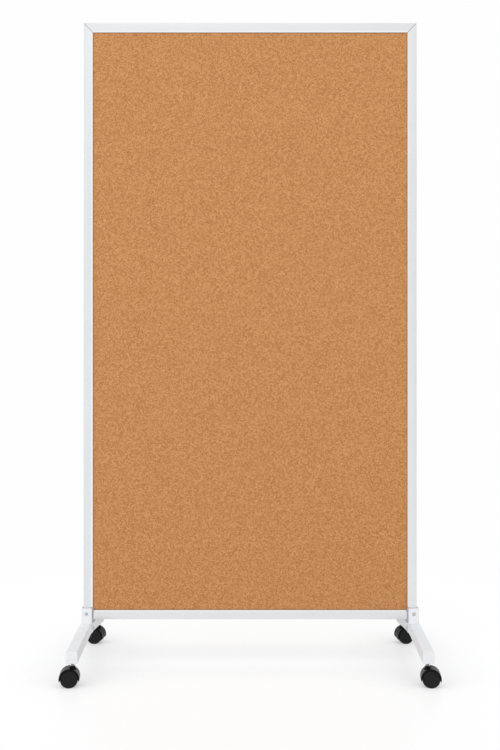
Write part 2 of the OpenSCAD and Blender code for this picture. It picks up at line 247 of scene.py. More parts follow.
class PartitionSettings(bpy.types.PropertyGroup):
    frame: bpy.props.PointerProperty(type=PartitionFrameSettings)
    board: bpy.props.PointerProperty(type=PartitionBoardSettings)
    bracket: bpy.props.PointerProperty(type=PartitionBracketSettings)
    foot: bpy.props.PointerProperty(type=PartitionFootSettings)
    caster: bpy.props.PointerProperty(type=PartitionCasterSettings)
    stage: bpy.props.PointerProperty(type=PartitionStageSettings)


# ---- Shaping ----

def is_vert(item):
    return isinstance(item, bmesh.types.BMVert)


def is_face(item):
    return isinstance(item, bmesh.types.BMFace)


def is_edge(item):
    return isinstance(item, bmesh.types.BMEdge)


def outline(bm, corners, rounding, segments=4):
    """A flat face with the given corners, each eased by its rounding; gives back the face's edges."""
    verts = [bm.verts.new(corner) for corner in corners]
    bm.faces.new(verts)
    before = set(bm.verts) - set(verts)
    sizes = rounding if isinstance(rounding, (list, tuple)) else [rounding] * len(verts)
    for vert, size in zip(verts, sizes):
        if size > 0:
            bmesh.ops.bevel(
                bm, geom=[vert], offset=size, offset_type="OFFSET", segments=segments, profile=0.5,
                affect="VERTICES", material=-1, clamp_overlap=True)
    fresh = set(bm.verts) - before
    return [edge for edge in bm.edges if edge.verts[0] in fresh and edge.verts[1] in fresh]


def square(width, height):
    """Corners of an upright rectangle in the XZ plane, middle at the origin."""
    x, z = width / 2, height / 2
    return [(-x, 0, -z), (x, 0, -z), (x, 0, z), (-x, 0, z)]


def wires(bm, corner_sets, segments=4):
    """Closed loops of edges with no faces, one for each (corners, rounding)."""
    for corners, rounding in corner_sets:
        outline(bm, corners, rounding, segments)
    bmesh.ops.delete(bm, geom=bm.faces[:], context="FACES_ONLY")


def sweep_wires(bm, vector):
    """Walls from every loop of edges along a vector."""
    grown = bmesh.ops.extrude_edge_only(bm, edges=bm.edges[:])["geom"]
    bmesh.ops.translate(bm, vec=vector, verts=[item for item in grown if is_vert(item)])


def extrude(bm, faces, vector):
    """Pulls faces out along a vector; gives back the moved faces."""
    grown = bmesh.ops.extrude_face_region(bm, geom=faces)["geom"]
    bmesh.ops.translate(bm, vec=vector, verts=[item for item in grown if is_vert(item)])
    return [item for item in grown if is_face(item)]


def slab(bm, low, high):
    """A box between two corners."""
    made = bmesh.ops.create_cube(bm, size=1.0)["verts"]
    low, high = Vector(low), Vector(high)
    bmesh.ops.scale(bm, vec=high - low, verts=made)
    bmesh.ops.translate(bm, vec=(low + high) / 2, verts=made)


def trim(bm, point, normal):
    """Cuts away what lies beyond a plane and closes the opening."""
    geom = bm.verts[:] + bm.edges[:] + bm.faces[:]
    sliced = bmesh.ops.bisect_plane(
        bm, geom=geom, dist=1e-7, plane_co=point, plane_no=normal, clear_outer=True)["geom_cut"]
    rim = [item for item in sliced if is_edge(item) and item.is_boundary]
    if rim:
        bmesh.ops.triangle_fill(bm, use_beauty=True, use_dissolve=False, edges=rim)


def spun(profile, rounding=0.0, steps=64, rim_segments=4):
    """A solid turned about the Z axis from a closed outline of (radius, height) points."""
    bm = bmesh.new()
    rim = outline(bm, [(r, 0, z) for r, z in profile], rounding, rim_segments)
    bmesh.ops.delete(bm, geom=bm.faces[:], context="FACES_ONLY")
    on_axis = [edge for edge in rim if edge.is_valid and all(abs(vert.co.x) < 1e-8 for vert in edge.verts)]
    bmesh.ops.delete(bm, geom=on_axis, context="EDGES")
    bmesh.ops.spin(
        bm, geom=bm.verts[:] + bm.edges[:], cent=(0, 0, 0), axis=(0, 0, 1), dvec=(0, 0, 0),
        angle=FULL_TURN, steps=steps, use_merge=True, use_duplicate=False)
    clean(bm)
    return bm


def clean(bm):
    """Merges doubled points and turns every face outwards."""
    bmesh.ops.remove_doubles(bm, verts=bm.verts[:], dist=1e-6)
    bmesh.ops.dissolve_degenerate(bm, edges=bm.edges[:], dist=1e-7)
    bmesh.ops.recalc_face_normals(bm, faces=bm.faces[:])
    return bm


def ease(bm, size, picked, segments=2):
    """Rounds the edges that a test picks."""
    edges = [edge for edge in bm.edges if len(edge.link_faces) == 2 and picked(edge)]
    bmesh.ops.bevel(
        bm, geom=edges, offset=size, offset_type="OFFSET", segments=segments, profile=0.5, affect="EDGES",
        material=-1, clamp_overlap=True)


def merge_flats(bm):
    """Joins the faces that lie in one plane."""
    bmesh.ops.dissolve_limit(bm, angle_limit=math.radians(0.5), verts=bm.verts[:], edges=bm.edges[:])


def sharp(edge):
    """Whether the surface turns by more than 60 degrees at an edge."""
    return edge.calc_face_angle(0) > math.radians(60)


def inward(edge):
    """Whether two faces meet in a hollow corner."""
    first, second = edge.link_faces
    return (second.calc_center_median() - first.calc_center_median()).dot(first.normal) > 0


def move(bm, matrix):
    """Moves or turns a whole shape."""
    bmesh.ops.transform(bm, matrix=matrix, verts=bm.verts[:])
    return bm


def temporary(bm):
    """A working object for a modifier, made from a shape that is used up."""
    mesh = bpy.data.meshes.new("working")
    bm.to_mesh(mesh)
    bm.free()
    thing = bpy.data.objects.new("working", mesh)
    bpy.context.scene.collection.objects.link(thing)
    return thing


def discard(thing):
    """Removes a working object and its mesh."""
    mesh = thing.data
    bpy.data.objects.remove(thing)
    bpy.data.meshes.remove(mesh)


def combine(bm, tool, operation):
    """Joins one closed shape with another or cuts it by the other; both are used up."""
    body, cutter = temporary(clean(bm)), temporary(clean(tool))
    step = body.modifiers.new("combine", "BOOLEAN")
    step.operation = operation
    step.solver = "EXACT"
    step.object = cutter
    bpy.context.view_layer.update()
    solved = body.evaluated_get(bpy.context.evaluated_depsgraph_get())
    result = bmesh.new()
    result.from_mesh(solved.to_mesh())
    solved.to_mesh_clear()
    discard(body)
    discard(cutter)
    bmesh.ops.remove_doubles(result, verts=result.verts[:], dist=1e-6)
    bmesh.ops.dissolve_degenerate(result, edges=result.edges[:], dist=1e-7)
    return result


def join(bm, tool):
    return combine(bm, tool, "UNION")


def cut(bm, tool):
    return combine(bm, tool, "DIFFERENCE")


def rod(radius, start, finish, steps=48):
    """A plain round rod between two points, used for cutting bores."""
    start, finish = Vector(start), Vector(finish)
    span = finish - start
    bm = bmesh.new()
    bmesh.ops.create_cone(
        bm, cap_ends=True, cap_tris=False, segments=steps, radius1=radius, radius2=radius, depth=span.length)
    turn = Vector((0, 0, 1)).rotation_difference(span).to_matrix().to_4x4()
    return move(bm, Matrix.Translation((start + finish) / 2) @ turn)


def screw_bore(side=1):
    """A rod that cuts the hole of the panel screws on one side."""
    x = side * SCREW_X
    return rod(SCREW_RADIUS + LOOSE, (x, -THROUGH, SCREW_Z), (x, THROUGH, SCREW_Z))


def reflected(bm, scale):
    """A shape's mirror image, with its faces turned outwards again."""
    bmesh.ops.scale(bm, vec=scale, verts=bm.verts[:])
    bmesh.ops.reverse_faces(bm, faces=bm.faces[:])
    return bm


def mirrored(bm, side):
    """The right-hand shape, or its mirror image for the left."""
    return reflected(bm, (-1, 1, 1)) if side < 0 else bm


def flipped(bm, end):
    """The rear shape, or its mirror image for the front."""
    return reflected(bm, (1, -1, 1)) if end < 0 else bm


def upended(bm, way):
    """A shape turned about Z, or its mirror image below the XY plane."""
    return reflected(bm, (1, 1, -1)) if way < 0 else bm


def piece(bm, name, body, materials, replaced=(), crease=32):
    """Makes the finished object, shaded evenly, riding its body and standing in for its CAD nodes."""
    mesh = bpy.data.meshes.new(name)
    bm.normal_update()
    for edge in bm.edges:
        edge.smooth = len(edge.link_faces) == 2 and edge.calc_face_angle(0) < math.radians(crease)
    for face in bm.faces:
        face.smooth = True
    bm.to_mesh(mesh)
    bm.free()
    thing = bpy.data.objects.new(name, mesh)
    bpy.context.scene.collection.objects.link(thing)
    for material in materials:
        mesh.materials.append(material)
    even = thing.modifiers.new("even_shading", "WEIGHTED_NORMAL")
    even.keep_sharp = True
    even.weight = 100
    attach(thing, body)
    if replaced:
        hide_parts(*replaced)


# ---- Finishes ----

class Finish:
    """A material built round one Principled shader, with patterns that read Object coordinates."""

    def __init__(self, name, **values):
        self.material = bpy.data.materials.new(name)
        self.material.use_nodes = True
        self.tree = self.material.node_tree
        self.shader = self.tree.nodes["Principled BSDF"]
        self.place = self.add("ShaderNodeTexCoord").outputs["Object"]
        for label, value in values.items():
            self.shader.inputs[label.replace("_", " ")].default_value = value

    def add(self, kind, **settings):
        node = self.tree.nodes.new(kind)
        for name, value in settings.items():
            setattr(node, name, value)
        return node

    def link(self, out, into):
        self.tree.links.new(out, into)

    def stretched(self, scale):
        node = self.add("ShaderNodeMapping")
        node.inputs["Scale"].default_value = scale
        self.link(self.place, node.inputs["Vector"])
        return node.outputs["Vector"]

    def noise(self, scale, detail=2.0, roughness=0.5, place=None):
        node = self.add("ShaderNodeTexNoise")
        node.inputs["Scale"].default_value = scale
        node.inputs["Detail"].default_value = detail
        node.inputs["Roughness"].default_value = roughness
        self.link(place or self.place, node.inputs["Vector"])
        return node.outputs["Fac"]

    def cells(self, scale, feature="F1", output="Distance", place=None):
        node = self.add("ShaderNodeTexVoronoi", feature=feature)
        node.inputs["Scale"].default_value = scale
        self.link(place or self.place, node.inputs["Vector"])
        return node.outputs[output]

    def span(self, value, low, high, to_low=0.0, to_high=1.0):
        node = self.add("ShaderNodeMapRange")
        node.inputs["From Min"].default_value = low
        node.inputs["From Max"].default_value = high
        node.inputs["To Min"].default_value = to_low
        node.inputs["To Max"].default_value = to_high
        self.link(value, node.inputs["Value"])
        return node.outputs["Result"]

    def spread(self, noise, to_low=0.0, to_high=1.0):
        """Stretches a noise pattern's usual values over a range."""
        return self.span(noise, NOISE_LOW, NOISE_HIGH, to_low, to_high)

    def maths(self, first, second, operation="ADD"):
        node = self.add("ShaderNodeMath", operation=operation)
        self.link(first, node.inputs[0])
        if isinstance(second, float):
            node.inputs[1].default_value = second
        else:
            self.link(second, node.inputs[1])
        return node.outputs["Value"]

    def blend(self, amount, first, second):
        node = self.add("ShaderNodeMix", data_type="RGBA", blend_type="MIX")
        colour_inputs = [socket for socket in node.inputs if socket.type == "RGBA"]
        self.link(amount, node.inputs["Factor"])
        for socket, value in zip(colour_inputs, (first, second)):
            if isinstance(value, (tuple, list)):
                socket.default_value = value
            else:
                self.link(value, socket)
        return next(socket for socket in node.outputs if socket.type == "RGBA")

    def lip_shade_mask(self, reach, most):
        """Painted shade along the frame's lips: rises towards the lips, to its most, over the last few
        millimetres of cork.
        """
        half_x, half_z = PANEL_HALF - RAIL_FACE, (PANEL_TOP - PANEL_BOTTOM) / 2 - RAIL_FACE
        split = self.add("ShaderNodeSeparateXYZ")
        self.link(self.place, split.inputs["Vector"])
        across = self.maths(split.outputs["X"], 0.0, "ABSOLUTE")
        height = self.maths(split.outputs["Z"], (PANEL_TOP + PANEL_BOTTOM) / 2, "SUBTRACT")
        upright = self.maths(height, 0.0, "ABSOLUTE")
        beside = self.span(across, half_x - reach, half_x, 0.0, most)
        level = self.span(upright, half_z - reach, half_z, 0.0, most)
        return self.maths(beside, level, "MAXIMUM")

    def bump(self, height, strength, distance, below=None):
        node = self.add("ShaderNodeBump")
        node.inputs["Strength"].default_value = strength
        node.inputs["Distance"].default_value = distance
        self.link(height, node.inputs["Height"])
        if below:
            self.link(below, node.inputs["Normal"])
        return node.outputs["Normal"]

    def set(self, label, out):
        self.link(out, self.shader.inputs[label])


def rgba(value, factor=1.0):
    """A colour with full alpha, made lighter or darker by a factor."""
    return tuple(min(1.0, part * factor) for part in value) + (1.0,)


FINISHES = {}


def finish(name, make, *values):
    """Each finish is made once and shared."""
    if name not in FINISHES:
        FINISHES[name] = make(name, *values)
    return FINISHES[name]


def satin_aluminium(name, metal, along):
    """Fine drawing lines along the length of the profile, with a faint cloudiness in the anodising."""
    look = Finish(name, Metallic=1.0, Roughness=0.31)
    across, drawn = 2600.0, 9.0
    scale = {"X": (drawn, across, across), "Z": (across, across, drawn)}[along]
    lines = look.noise(1.0, 3.0, 0.6, look.stretched(scale))
    coarse = look.noise(1.0, 1.0, 0.5, look.stretched(tuple(part * 0.22 for part in scale)))
    cloud = look.noise(7.0, 2.0, 0.5)
    tone = look.maths(look.spread(lines, 0.0, 0.6), look.span(cloud, 0.35, 0.65, 0.0, 0.4))
    look.set("Base Color", look.blend(tone, rgba(metal, 0.965), rgba(metal, 1.02)))
    look.set("Roughness", look.span(look.maths(lines, coarse), 0.7, 1.3, 0.26, 0.37))
    look.set("Normal", look.bump(lines, 0.12, 0.00002, look.bump(coarse, 0.10, 0.00004)))
    return look.material


def pressed_cork(name, board):
    """Granules of three tones pressed together, with darker seams, bark specks, open pores and a painted
    shade along the lips.
    """
    look = Finish(name, Roughness=0.88, Specular_IOR_Level=0.18)
    per_metre = 1.0 / board.granule
    wobble = look.add("ShaderNodeTexNoise")
    wobble.inputs["Scale"].default_value = per_metre * 0.9
    look.link(look.place, wobble.inputs["Vector"])
    shift = look.add("ShaderNodeVectorMath", operation="SCALE")
    look.link(wobble.outputs["Color"], shift.inputs[0])
    shift.inputs["Scale"].default_value = board.granule * 0.8
    warped = look.add("ShaderNodeVectorMath", operation="ADD")
    look.link(look.place, warped.inputs[0])
    look.link(shift.outputs["Vector"], warped.inputs[1])
    place = warped.outputs["Vector"]
    grain = look.add("ShaderNodeSeparateColor")
    look.link(look.cells(per_metre, output="Color", place=place), grain.inputs["Color"])
    crumb = look.add("ShaderNodeSeparateColor")
    look.link(look.cells(per_metre * 2.3, output="Color", place=place), crumb.inputs["Color"])
    grain_share = 0.62
    tone = look.maths(
        look.span(grain.outputs["Red"], 0.0, 1.0, 0.0, grain_share),
        look.span(crumb.outputs["Green"], 0.0, 1.0, 0.0, 1.0 - grain_share))
    base = look.blend(look.span(tone, 0.18, 0.82), rgba(board.cork_dark), rgba(board.cork_light))
    patch = look.noise(24.0, 2.0, 0.55)
    base = look.blend(look.spread(patch, 0.25, 0.0), base, rgba(board.cork))
    seam = look.cells(per_metre, feature="DISTANCE_TO_EDGE", place=place)
    base = look.blend(look.span(seam, 0.0, 0.09, 0.30, 0.0), base, rgba(board.cork_dark, 0.75))
    bark = look.noise(per_metre * 0.75, 1.0, 0.5)
    base = look.blend(look.span(bark, 0.70, 0.76, 0.0, 0.55), base, rgba(board.cork_dark, 0.45))
    # Painted shade: the cork is darkened towards the lips, as if shaded by them.
    painted_lip_shade = look.lip_shade_mask(board.shade_reach, 0.45)
    look.set("Base Color", look.blend(painted_lip_shade, base, rgba(board.cork_dark, 0.5)))
    pores = look.noise(per_metre * 3.0, 2.0, 0.6)
    relief = look.maths(look.span(seam, 0.0, 0.16), look.span(pores, 0.3, 0.6, 0.0, 0.8))
    look.set("Normal", look.bump(relief, 0.35, 0.00025))
    look.set("Roughness", look.spread(pores, 0.95, 0.8))
    return look.material


def cut_cork(name, board):
    """Painted shade for the open line beside the lips: the cork's cut edge, coloured dark to stand for the
    shadow in that line.
    """
    look = Finish(name, Roughness=0.95, Specular_IOR_Level=0.1)
    crumbs = look.noise(900.0, 2.0, 0.6)
    tone = look.spread(crumbs)
    look.set("Base Color", look.blend(tone, rgba(board.edge, 0.7), rgba(board.edge, 1.4)))
    look.set("Normal", look.bump(crumbs, 0.5, 0.0003))
    return look.material


def fibre_core(name, board):
    """Pressed wood fibres, lying along the sheet."""
    look = Finish(name, Roughness=0.9, Specular_IOR_Level=0.2)
    fibres = look.noise(1.0, 4.0, 0.65, look.stretched((260.0, 900.0, 260.0)))
    tone = look.spread(fibres)
    look.set("Base Color", look.blend(tone, rgba(board.core, 0.75), rgba(board.core, 1.25)))
    look.set("Normal", look.bump(fibres, 0.4, 0.0002))
    return look.material


def powder_coat(name, coat):
    """Pale coating with the fine dimpled skin of baked powder."""
    look = Finish(name, Roughness=0.55, Specular_IOR_Level=0.16)
    dimples = look.noise(1150.0, 2.0, 0.5)
    speckle = look.noise(3200.0, 1.0, 0.5)
    cloud = look.noise(11.0, 2.0, 0.5)
    tone = look.maths(look.spread(speckle, 0.0, 0.5), look.spread(cloud, 0.0, 0.5))
    look.set("Base Color", look.blend(tone, rgba(coat, 0.97), rgba(coat, 1.02)))
    look.set("Roughness", look.spread(speckle, 0.5, 0.62))
    look.set("Normal", look.bump(dimples, 0.16, 0.00006))
    return look.material


def moulded_plastic(name, base, roughness, gloss, grain, relief):
    """Black moulded plastic: an etched grain of a given fineness and depth, with faint dull patches."""
    look = Finish(name, Roughness=roughness, Specular_IOR_Level=gloss)
    etch = look.noise(grain, 2.0, 0.55)
    patch = look.noise(95.0, 3.0, 0.6)
    look.set("Base Color", look.blend(look.span(patch, 0.35, 0.7), rgba(base, 0.9), rgba(base, 1.25)))
    look.set("Roughness", look.span(look.maths(etch, patch), 0.7, 1.3, roughness - 0.06, roughness + 0.1))
    look.set("Normal", look.bump(etch, 0.3, relief))
    return look.material


def plated_steel(name, base, roughness):
    """Bright zinc plate with faint spangle and turning marks."""
    look = Finish(name, Metallic=1.0, Roughness=roughness)
    spangle = look.cells(420.0, output="Color")
    split = look.add("ShaderNodeSeparateColor")
    look.link(spangle, split.inputs["Color"])
    marks = look.noise(1.0, 2.0, 0.5, look.stretched((300.0, 300.0, 5200.0)))
    look.set("Base Color", look.blend(split.outputs["Red"], rgba(base, 0.93), rgba(base, 1.05)))
    look.set("Roughness", look.spread(marks, roughness - 0.05, roughness + 0.09))
    look.set("Normal", look.bump(marks, 0.15, 0.00002))
    return look.material


def blackened_steel(name, base):
    """Blackened fasteners, rubbed a little brighter in places."""
    look = Finish(name, Metallic=0.75, Roughness=0.38)
    rubbed = look.noise(260.0, 3.0, 0.6)
    pits = look.noise(2600.0, 2.0, 0.5)
    look.set("Base Color", look.blend(look.span(rubbed, 0.4, 0.7), rgba(base, 0.8), rgba(base, 1.6)))
    look.set("Roughness", look.spread(pits, 0.3, 0.48))
    look.set("Normal", look.bump(pits, 0.2, 0.00002))
    return look.material


def soft_plastic(name, base):
    """Soft matt plastic with a faint bloom."""
    look = Finish(name, Roughness=0.7, Specular_IOR_Level=0.3)
    skin = look.noise(1900.0, 2.0, 0.55)
    bloom = look.noise(60.0, 2.0, 0.5)
    look.set("Base Color", look.blend(look.span(bloom, 0.35, 0.7), rgba(base, 0.95), rgba(base, 1.05)))
    look.set("Roughness", look.spread(skin, 0.62, 0.8))
    look.set("Normal", look.bump(skin, 0.3, 0.00005))
    return look.material


def pale_floor(name, stage):
    """Pale floor that keeps soft shadows near the partition, adds a painted shade close under the pieces, and
    fades to plain white further out.
    """
    look = Finish(name, Roughness=0.3, Specular_IOR_Level=0.5)
    tiny = look.noise(2.2, 2.0, 0.5)
    look.set("Base Color", look.blend(
        look.spread(tiny), rgba(stage.floor, 0.995), rgba(stage.floor, 1.005)))
    rays = look.add("ShaderNodeLightPath")
    ray = look.maths(rays.outputs["Is Camera Ray"], rays.outputs["Is Glossy Ray"], "MAXIMUM")
    # The floor's glow is darkened by ambient occlusion into a painted shade close to the feet, gathered round
    # a direction that leans to the front, as the light does.
    lit_from = look.add("ShaderNodeCombineXYZ")
    lit_from.inputs["Y"].default_value = -0.45
    lit_from.inputs["Z"].default_value = 0.89
    near = look.add("ShaderNodeAmbientOcclusion", samples=8)
    near.inputs["Distance"].default_value = 0.25
    look.link(lit_from.outputs["Vector"], near.inputs["Normal"])
    open_glow, fade_start, fade_end = 1.03, 0.75, 1.9
    glow = look.add("ShaderNodeEmission")
    strength = look.span(near.outputs["AO"], 0.0, 1.0, open_glow * (1 - stage.floor_painted_shade), open_glow)
    look.link(strength, glow.inputs["Strength"])
    lit = look.add("ShaderNodeMixShader")
    look.link(look.maths(ray, stage.floor_white, "MULTIPLY"), lit.inputs["Fac"])
    look.link(look.shader.outputs["BSDF"], lit.inputs[1])
    look.link(glow.outputs["Emission"], lit.inputs[2])
    distance = look.add("ShaderNodeVectorMath", operation="LENGTH")
    look.link(look.place, distance.inputs[0])
    far = look.add("ShaderNodeMapRange", interpolation_type="SMOOTHERSTEP")
    far.inputs["From Min"].default_value, far.inputs["From Max"].default_value = fade_start, fade_end
    look.link(distance.outputs["Value"], far.inputs["Value"])
    white = look.add("ShaderNodeEmission")
    white.inputs["Strength"].default_value = PLAIN_WHITE
    fade = look.add("ShaderNodeMixShader")
    look.link(look.maths(far.outputs["Result"], ray, "MULTIPLY"), fade.inputs["Fac"])
    look.link(lit.outputs["Shader"], fade.inputs[1])
    look.link(white.outputs["Emission"], fade.inputs[2])
    look.link(fade.outputs["Shader"], look.tree.nodes["Material Output"].inputs["Surface"])
    return look.material


# ---- Frame ----

def profile_length(settings, span):
    """One mitred length of frame profile along X, its outer edge at Z = 0 and its groove facing down."""
    h, face = RAIL_HALF_DEPTH, RAIL_FACE
    lip, groove = settings.groove_half, face - settings.groove_depth
    step, foot = h - 0.8 * MM, h - 3.3 * MM
    shoulder = face - settings.inner_bevel
    half = [
        (h, 0, settings.edge_radius), (h, settings.outer_band, 0.5 * MM), (step, shoulder, 0.5 * MM),
        (foot, face, settings.lip_radius), (lip, face, settings.lip_radius), (lip, groove, 0.3 * MM)]
    around = half + [(-y, a, rounding) for y, a, rounding in reversed(half)]
    chamber, low, high = h - settings.wall, settings.wall, groove - settings.wall
    start = -span / 2 - MM
    bm = bmesh.new()
    wires(bm, [
        ([(start, y, -a) for y, a, _ in around], [rounding for _, _, rounding in around]),
        ([(start, y, -a) for y, a in ((-chamber, low), (chamber, low), (chamber, high), (-chamber, high))],
         0.4 * MM)])
    sweep_wires(bm, (span + 2 * MM, 0, 0))
    end = span / 2 - settings.joint_line / math.sqrt(2)
    for side in (-1, 1):
        trim(bm, (side * end, 0, 0), (side, 0, -1))
    return clean(bm)


def is_mitre(face):
    """Whether a face lies at 45 degrees across the profile."""
    return abs(face.normal.y) < 0.1 and abs(abs(face.normal.x) - abs(face.normal.z)) < 0.02


def is_bevel(face):
    """Whether a face is the bevel that runs down to the cork."""
    return 0.85 < abs(face.normal.y) < 0.93


class PARTITION_OT_frame(bpy.types.Operator):
    """Builds the four mitred lengths of the aluminium frame"""
    bl_idname = "partition.frame"
    bl_label = "Aluminium Frame"

    def execute(self, context):
        settings = context.scene.partition.frame
        width, height = 2 * PANEL_HALF, PANEL_TOP - PANEL_BOTTOM
        middle = (PANEL_TOP + PANEL_BOTTOM) / 2
        level = finish("satin_aluminium_level", satin_aluminium, tuple(settings.metal), "X")
        upright = finish("satin_aluminium_upright", satin_aluminium, tuple(settings.metal), "Z")
        # Painted shade: the mitre faces are coloured near black to stand for the shadow in the open joint
        # lines.
        mitre_shade = finish("sawn_mitre", blackened_steel, (0.06, 0.06, 0.063))
        turned = Matrix.Rotation(math.pi, 4, "Y")
        lengths = [
            ("frame_top", "top_rail", width, 0, Matrix.Translation((0, 0, PANEL_TOP))),
            ("frame_bottom", "bottom_rail", width, 0, Matrix.Translation((0, 0, PANEL_BOTTOM)) @ turned)]
        for name, side in SIDES:
            quarter = Matrix.Rotation(side * math.pi / 2, 4, "Y")
            place = Matrix.Translation((side * PANEL_HALF, 0, middle)) @ quarter
            lengths.append((f"frame_{name}", f"{name}_stile", height, side, place))
        for name, node, span, side, place in lengths:
            bm = move(profile_length(settings, span), place)
            if side:
                bm = cut(bm, screw_bore(side))
            bm.normal_update()
            for face in bm.faces:
                face.material_index = 1 if is_mitre(face) else 2 if is_bevel(face) else 0
            metal = upright if side else level
            bevel = metal
            # Painted highlight: the bevels of the top rail and the left stile, which catch the light, are
            # coloured brighter than the rest of the metal.
            if node in ("top_rail", "left_stile"):
                bevel = finish(
                    f"bright_{metal.name}", satin_aluminium, tuple(settings.bright), "Z" if side else "X")
            piece(bm, name, STAND, [metal, mitre_shade, bevel], [node])
        # The keys' dark grey is partly their own cast colour and partly painted shade, deepening the shadow
        # seen through the open mitre lines.
        key_cast_and_shade = finish("cast_key", plated_steel, (0.30, 0.305, 0.315), 0.45)
        for name, _ in SIDES:
            dress(f"top_{name}_key", key_cast_and_shade)
            dress(f"bottom_{name}_key", key_cast_and_shade)
        return {"FINISHED"}


def dress(node, material):
    """Gives a finish to a node that is shown as it is."""
    thing = frame["nodes"][node]
    thing.data.materials.clear()
    thing.data.materials.append(material)


# ---- Board ----

class PARTITION_OT_board(bpy.types.Operator):
    """Builds the front and rear sheets of cork and finishes the core between them"""
    bl_idname = "partition.board"
    bl_label = "Cork Board"

    def execute(self, context):
        settings = context.scene.partition.board
        cork = finish("pressed_cork", pressed_cork, settings)
        open_line_shade = finish("cut_cork", cut_cork, settings)
        for name, end in ENDS:
            bm = bmesh.new()
            slab(bm, CORK_LOW, (CORK_HIGH.x, CORK_HIGH.y - settings.press_in, CORK_HIGH.z))
            face = [each for each in bm.faces if each.normal.y > 0.5]
            bmesh.ops.inset_region(bm, faces=face, thickness=settings.lip_inset, use_even_offset=True)
            before = set(bm.faces)
            lean = 0.05 * MM  # width that each wall of the open line takes up
            for width, rise in (
                    (lean, -settings.gap_depth), (settings.gap, 0.0),
                    (lean, settings.gap_depth + settings.press_in)):
                bmesh.ops.inset_region(bm, faces=face, thickness=width, depth=rise, use_even_offset=True)
            # The walls of the open line take the dark painted shade.
            for side_face in set(bm.faces) - before - set(face):
                side_face.material_index = 1
            bmesh.ops.bevel(
                bm, geom=list(face[0].edges), offset=0.4 * MM, segments=3, profile=0.5, affect="EDGES",
                material=0)
            clean(bm)
            piece(flipped(bm, end), f"cork_{name}", STAND, [cork, open_line_shade],
                  [f"{name}_cork"], crease=60)
        dress("board_core", finish("fibre_core", fibre_core, settings))
        return {"FINISHED"}


# ---- Brackets ----

def channel(x_open, x_wall, half_y, wall_x, wall_y, low, high, outer, inner):
    """An upright channel that opens towards the middle of the panel."""
    corners = [
        (x_open, -half_y, 0), (x_wall, -half_y, outer), (x_wall, half_y, outer), (x_open, half_y, 0),
        (x_open, half_y - wall_y, 0), (x_wall - wall_x, half_y - wall_y, inner),
        (x_wall - wall_x, wall_y - half_y, inner), (x_open, wall_y - half_y, 0)]
    bm = bmesh.new()
    outline(bm, [(x, y, low) for x, y, _ in corners], [size for _, _, size in corners], 6)
    extrude(bm, bm.faces[:], (0, 0, high - low))
    return clean(bm)


def bracket_shape(settings):
    """A folded channel round the foot of the stile, closed below, with a tab that hangs inside the foot."""
    plate = settings.plate
    x_in, x_out = BRACKET_LOW.x, BRACKET_HIGH.x
    wall = channel(
        x_in, x_out, BRACKET_HIGH.y, plate, plate, FOOT_TOP, BRACKET_HIGH.z,
        settings.bend_radius, settings.bend_radius - plate)
    web = bmesh.new()
    slab(web, (x_in, -BRACKET_HIGH.y + MM, FOOT_TOP), (x_out - MM, BRACKET_HIGH.y - MM, FOOT_TOP + plate))
    tab = bmesh.new()
    half, low = settings.tab_half, BRACKET_LOW.z
    high = FOOT_TOP + plate
    corners = [(x_in, -half, high), (x_in, -half, low), (x_in, half, low), (x_in, half, high)]
    outline(tab, corners, [0, settings.tab_corner, settings.tab_corner, 0], 6)
    extrude(tab, tab.faces[:], (plate, 0, 0))
    bm = join(join(wall, web), tab)
    merge_flats(bm)
    ease(bm, settings.easing, lambda edge: sharp(edge) and not inward(edge))
    bolt_bore = rod(BOLT_RADIUS + LOOSE, (x_in - MM, 0, BOLT_Z), (x_in + plate + MM, 0, BOLT_Z))
    return cut(cut(bm, screw_bore()), bolt_bore)


def liner_shape(settings):
    """A thin channel between bracket and frame, with a pad under the frame."""
    x_in, x_out = LINER_LOW.x, LINER_HIGH.x
    low, half = LINER_LOW.z, LINER_HIGH.y
    bm = channel(
        x_in, x_out, half, x_out - PANEL_HALF - SLIP, settings.liner_wall, low, LINER_HIGH.z,
        0.6 * MM, 0.3 * MM)
    pad = bmesh.new()
    slab(pad, (x_in, -half + SLIP, low), (x_out - MM, half - SLIP, PANEL_BOTTOM - SLIP))
    bm = join(bm, pad)
    merge_flats(bm)
    ease(bm, 0.35 * MM, lambda edge: sharp(edge) and not inward(edge))
    return cut(bm, screw_bore())


def button_head(head_radius, head_height, shank_radius, shank_length, socket_radius):
    """A domed screw head with a hex socket; the head stands above Z = 0 and the shank runs down."""
    crown, edge = head_radius * 0.58, head_radius * 0.98
    skirt = head_height * 0.16
    chamfer = 0.6 * MM
    bm = spun([
        (0, -shank_length), (shank_radius - chamfer, -shank_length), (shank_radius, chamfer - shank_length),
        (shank_radius, 0), (edge, 0), (head_radius, skirt * 0.5), (edge, skirt),
        (head_radius * 0.88, head_height * 0.52), (head_radius * 0.74, head_height * 0.80),
        (crown, head_height), (0, head_height)], steps=48)
    socket = rod(socket_radius, (0, 0, head_height * 0.35), (0, 0, head_height * 2), steps=6)
    return cut(bm, socket)


